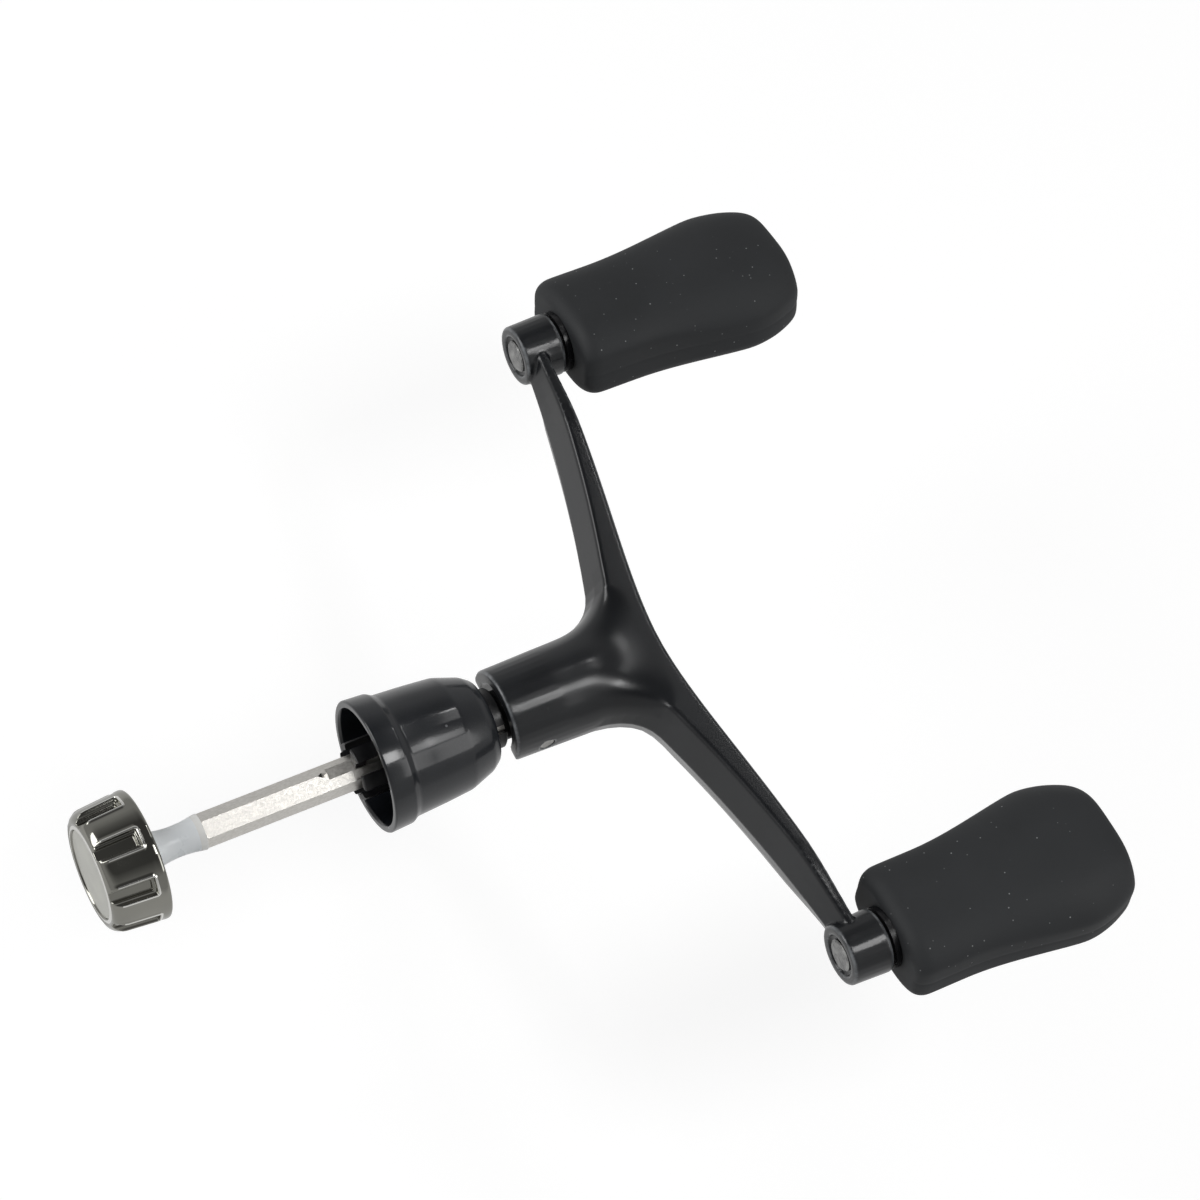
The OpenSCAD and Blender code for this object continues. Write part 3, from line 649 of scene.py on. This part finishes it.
discPlan = [(-35.31, 0, 0), (-35.31, 5.68, 0), (-36.02, 5.68, 0.05), (-36.1, 5.6, 0.05), (-36.08, 5.5, 0.05),
    (-36.13, 5.38, 0.08), (-36.17, 3, 0.5), (-36.18, 0, 0)]


def makeDisc(plan):
    disc = turnPiece("matteDisc", plan, segments=96, steps=3, solid=True)
    smoothShade(disc, 30)
    dress(disc, "capFace")
    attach(disc, "cap")
    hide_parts("cap_disc")
    print("matte disc:", len(disc.data.polygons), "faces")


makeDisc(discPlan)


# Milky sleeve: flared at the cap, waisted, and lapped over the shaft's chamfered end

sleevePlan = {
    "profile": [(-29.08, 1.52, 0), (-29.08, 2.7, 0.08), (-28.7, 2.66, 0.2), (-27.6, 2.16, 1.2),
        (-25.6, 1.92, 1.2), (-23.6, 2.02, 0.6), (-22.4, 2.24, 0.3), (-21.85, 2.3, 0.03),
        (-21.83, 2.23, 0.03), (-22.5, 2.1, 0.2), (-22.72, 1.9, 0), (-22.78, 1.52, 0)],
    "lipFrom": -22.75,
}


def makeThreadSleeve(plan):
    sleeve = turnPiece("milkySleeve", plan["profile"], segments=72, steps=5)
    smoothShade(sleeve, 50)
    dress(sleeve, "sleeveClear")
    # The lip that laps over the shaft is thin and nearly clear
    sleeve.data.materials.append(materials["sleeveThin"])
    for face in sleeve.data.polygons:
        if face.center.x > plan["lipFrom"] * mm:
            face.material_index = 1
    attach(sleeve, "cap_seat")
    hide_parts("thread_sleeve")
    print("milky sleeve:", len(sleeve.data.polygons), "faces")


makeThreadSleeve(sleevePlan)


# Drive shaft: the hexagon's edges are eased and a punch mark sits on the corner before the milled flat

# The shaft is painted in shade where it lies inside the stem, and on one side of the punch mark
shaftPlan = {
    "ease": 0.00007, "easeFrom": 35, "smoothTo": 12, "sharpFrom": 2, "corner": 2.17, "paintedShadeFrom": 17.55,
    "markAt": -5.8, "markTurn": 9, "markRadius": 0.66, "markDepth": 0.5, "paintedShadeOver": 1.2, "paintedShadeFacing": 0.25,
}


def makeShaft(plan):
    bar = copyNode("hexShaft", "drive_shaft")
    bpy.ops.object.mode_set(mode="EDIT")
    bpy.ops.mesh.select_all(action="SELECT")
    bpy.ops.mesh.bisect(plane_co=(plan["paintedShadeFrom"] * mm, 0, 0), plane_no=(1, 0, 0))
    bpy.ops.object.mode_set(mode="OBJECT")
    clearSelection()
    turn = math.radians(plan["markTurn"])
    out = Vector((0, math.sin(turn), math.cos(turn)))
    depth = plan["markDepth"] * 2
    middle = Vector((plan["markAt"], 0, 0)) + out * (plan["corner"] - plan["markDepth"] + depth / 2)
    bpy.ops.mesh.primitive_cone_add(vertices=4, radius1=0, radius2=plan["markRadius"] * 2 * mm,
        depth=depth * mm, location=middle * mm, rotation=(-turn, 0, 0))
    punch = bpy.context.object
    cut = bar.modifiers.new("mark", "BOOLEAN")
    cut.operation = "DIFFERENCE"
    cut.solver = "EXACT"
    cut.object = punch
    ease = bar.modifiers.new("ease", "BEVEL")
    ease.width = plan["ease"]
    ease.segments = 2
    ease.limit_method = "ANGLE"
    ease.angle_limit = math.radians(plan["easeFrom"])
    applyModifiers(bar)
    bpy.data.objects.remove(punch)
    smoothShade(bar, plan["smoothTo"])
    # The milled flats meet the hexagon at a low angle and still have a sharp edge
    mesh = bmesh.new()
    mesh.from_mesh(bar.data)
    for edge in mesh.edges:
        inFront = max(vertex.co.x for vertex in edge.verts) < plan["paintedShadeFrom"] * mm
        if inFront and edge.calc_face_angle(0) > math.radians(plan["sharpFrom"]):
            edge.smooth = False
    mesh.to_mesh(bar.data)
    mesh.free()
    dress(bar, "shaftNickel")
    # Painted shade: the shaft inside the stem, ball end included, and the side of the punch mark that faces
    # the crank get a dark material
    bar.data.materials.append(materials["shaftPaintedShade"])
    for face in bar.data.polygons:
        x, y, z = face.center / mm
        inShadedMark = abs(x - plan["markAt"]) < plan["markRadius"]
        inShadedMark = inShadedMark and Vector((0, y, z)).dot(out) > plan["paintedShadeOver"]
        if x > plan["paintedShadeFrom"] or (inShadedMark and face.normal.x > plan["paintedShadeFacing"]):
            face.material_index = 1
    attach(bar, "shaft")
    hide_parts("drive_shaft")
    print("hex shaft:", len(bar.data.polygons), "faces")


makeShaft(shaftPlan)


# Fold pin: a straight pin whose toothed ends show in the stem

pinPlan = {"x": 22.1, "half": 5.82, "radius": 1.0, "root": 0.86, "teeth": 20,
    "dish": 0.12, "dishInner": 0.45, "dishOuter": 0.62}


def makePin(plan):
    # Each end has a shallow dish inside its ring of teeth, as (place on the pin, share of the radius)
    half, count = plan["half"], plan["teeth"] * 2
    end = [(half, 1), (half, plan["dishOuter"]), (half - plan["dish"] * 0.8, plan["dishInner"]),
        (half - plan["dish"], 0)]
    line = [(-y, share) for y, share in reversed(end)] + end
    rings = []
    for y, share in line:
        ring = []
        for k in range(count):
            a = 2 * math.pi * k / count
            full = plan["radius"] if k % 2 else plan["root"]
            r = share * (full if share >= plan["dishOuter"] else plan["root"])
            ring.append((plan["x"] + r * math.cos(a), y, r * math.sin(a)))
        rings.append(ring)
    pin = loftRings("toothedPin", rings)
    smoothShade(pin, 30)
    dress(pin, "pinSteel")
    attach(pin, "crank")
    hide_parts("fold_pin")
    print("toothed pin:", len(pin.data.polygons), "faces")


makePin(pinPlan)


# Floor, light and camera

studioPlan = {
    "skyHigh": 0.12, "skyLow": 0.56, "skyFrom": 0.4, "skyTo": 0.8,
    "floorDrop": 0.6, "floorSize": 6, "floorCentre": 0.03, "floorColour": (0.42, 0.42, 0.42),
    "floorRough": 0.9, "floorGloss": 0.1, "floorGlow": 0.7, "mirrorGlow": 0.36,
}
lampAim = (0.025, 0, 0)
lampPlans = [
    {"name": "keyBox", "toward": (0.176, -0.19, 0.52), "away": 0.583, "width": 0.075, "height": 0.155,
        "radiance": 12.5},
    {"name": "shaftBox", "toward": (0.085, -0.19, 0.545), "away": 0.583, "width": 0.105, "height": 0.155,
        "radiance": 2.2},
    {"name": "keyTail", "toward": (0.245, -0.205, 0.50), "away": 0.595, "width": 0.06, "height": 0.11,
        "radiance": 3.5},
    {"name": "softPanel", "toward": (0.60, -0.58, 0.55), "away": 0.66, "width": 0.36, "height": 0.34,
        "radiance": 2.2},
    {"name": "bandPanel", "toward": (0.290, 0.125, 0.51), "away": 0.6, "width": 0.09, "height": 0.19,
        "radiance": 2.2},
    {"name": "thinStrip", "toward": (0.285, 0.232, 0.494), "away": 0.615, "width": 0.07, "height": 0.014,
        "radiance": 24.0},
    {"name": "broadPanel", "toward": (-0.75, 0.45, 0.55), "away": 0.7, "width": 0.5, "height": 0.4,
        "radiance": 4.0},
]


def makeStudio(plan):
    world = bpy.data.worlds.new("studio")
    bpy.context.scene.world = world
    world.use_nodes = True
    nodes, links = world.node_tree.nodes, world.node_tree.links
    nodes.clear()
    path = nodes.new("ShaderNodeLightPath")
    seen = nodes.new("ShaderNodeBackground")
    seen.inputs["Color"].default_value = (1, 1, 1, 1)
    # The light of the room is dim overhead and brighter towards the walls
    place = nodes.new("ShaderNodeTexCoord")
    split = nodes.new("ShaderNodeSeparateXYZ")
    links.new(place.outputs["Generated"], split.inputs["Vector"])
    sky = addRange(nodes, links, split.outputs["Z"], plan["skyLow"], plan["skyHigh"],
        plan["skyFrom"], plan["skyTo"])
    light = nodes.new("ShaderNodeBackground")
    links.new(sky.outputs["Result"], light.inputs["Strength"])
    mix = nodes.new("ShaderNodeMixShader")
    out = nodes.new("ShaderNodeOutputWorld")
    links.new(path.outputs["Is Camera Ray"], mix.inputs[0])
    links.new(light.outputs[0], mix.inputs[1])
    links.new(seen.outputs[0], mix.inputs[2])
    links.new(mix.outputs[0], out.inputs["Surface"])

    # The floor lies just below the knobs when the crank is folded down
    joints = frame["record"]["behaviour"]["joints"]
    fold = next(joint for joint in joints if joint["name"] == "arm_fold")
    highest = sizeAtStart[1]
    reach = math.hypot(highest[0] - fold["pos_m"][0], highest[2])
    clearSelection()
    bpy.ops.mesh.primitive_plane_add(size=plan["floorSize"],
        location=(plan["floorCentre"], 0, -reach - plan["floorDrop"] * mm))
    floor = bpy.context.object
    floor.name = "paleFloor"
    bpy.ops.object.transform_apply(location=True, rotation=False, scale=False)
    material = bpy.data.materials.new("paleFloor")
    material.use_nodes = True
    nodes, links = material.node_tree.nodes, material.node_tree.links
    shader = nodes["Principled BSDF"]
    shader.inputs["Base Color"].default_value = (*plan["floorColour"], 1)
    shader.inputs["Roughness"].default_value = plan["floorRough"]
    shader.inputs["Specular IOR Level"].default_value = plan["floorGloss"]
    # The camera, reflections and clear plastic see the floor glow; the object isn't lit by it
    path = nodes.new("ShaderNodeLightPath")
    strength = None
    for ray, glow in (("Is Camera Ray", "floorGlow"), ("Is Glossy Ray", "mirrorGlow"),
            ("Is Transmission Ray", "mirrorGlow")):
        share = nodes.new("ShaderNodeMath")
        share.operation = "MULTIPLY"
        share.inputs[1].default_value = plan[glow]
        links.new(path.outputs[ray], share.inputs[0])
        if strength:
            most = nodes.new("ShaderNodeMath")
            most.operation = "MAXIMUM"
            links.new(strength, most.inputs[0])
            links.new(share.outputs[0], most.inputs[1])
            strength = most.outputs[0]
        else:
            strength = share.outputs[0]
    shader.inputs["Emission Color"].default_value = (1, 1, 1, 1)
    links.new(strength, shader.inputs["Emission Strength"])
    floor.data.materials.append(material)


def makeLamps(plans, aim):
    for plan in plans:
        data = bpy.data.lights.new(plan["name"], "AREA")
        data.shape = "RECTANGLE"
        data.size = plan["width"]
        data.size_y = plan["height"]
        data.energy = plan["radiance"] * math.pi * plan["width"] * plan["height"]
        lamp = bpy.data.objects.new(plan["name"], data)
        bpy.context.scene.collection.objects.link(lamp)
        toward = Vector(plan["toward"]).normalized()
        lamp.location = Vector(aim) + toward * plan["away"]
        # The lamp's long side runs along X
        across = (Vector((1, 0, 0)) - toward * toward.x).normalized()
        up = toward.cross(across)
        lamp.matrix_world = Matrix.Translation(lamp.location) @ Matrix((
            (across.x, up.x, toward.x), (across.y, up.y, toward.y), (across.z, up.z, toward.z))).to_4x4()


cameraPlan = {"azimuth": -43.53, "elevation": 61.81, "roll": 18.92, "distance": 0.50636,
    "right": 0.002104, "up": 0.010187, "focus": (0.03, 0, 0), "lens": 122.455, "sensor": 36,
    "nearest": 0.01, "farthest": 20}


def makeCamera(plan):
    az, el = math.radians(plan["azimuth"]), math.radians(plan["elevation"])
    roll = math.radians(plan["roll"])
    back = Vector((math.sin(az) * math.cos(el), -math.cos(az) * math.cos(el), math.sin(el)))
    level = Vector((0, 0, 1)).cross(back).normalized()
    rise = back.cross(level)
    right = level * math.cos(roll) + rise * math.sin(roll)
    up = rise * math.cos(roll) - level * math.sin(roll)
    data = bpy.data.cameras.new("photoCamera")
    data.lens = plan["lens"]
    data.sensor_width = plan["sensor"]
    data.clip_start = plan["nearest"]
    data.clip_end = plan["farthest"]
    camera = bpy.data.objects.new("photoCamera", data)
    bpy.context.scene.collection.objects.link(camera)
    place = Vector(plan["focus"]) + right * plan["right"] + up * plan["up"] + back * plan["distance"]
    camera.matrix_world = Matrix.Translation(place) @ Matrix((
        (right.x, up.x, back.x), (right.y, up.y, back.y), (right.z, up.z, back.z))).to_4x4()
    bpy.context.scene.camera = camera


makeStudio(studioPlan)
makeLamps(lampPlans, lampAim)
makeCamera(cameraPlan)
bpy.context.scene.view_settings.view_transform = "Standard"
print("studio ready")
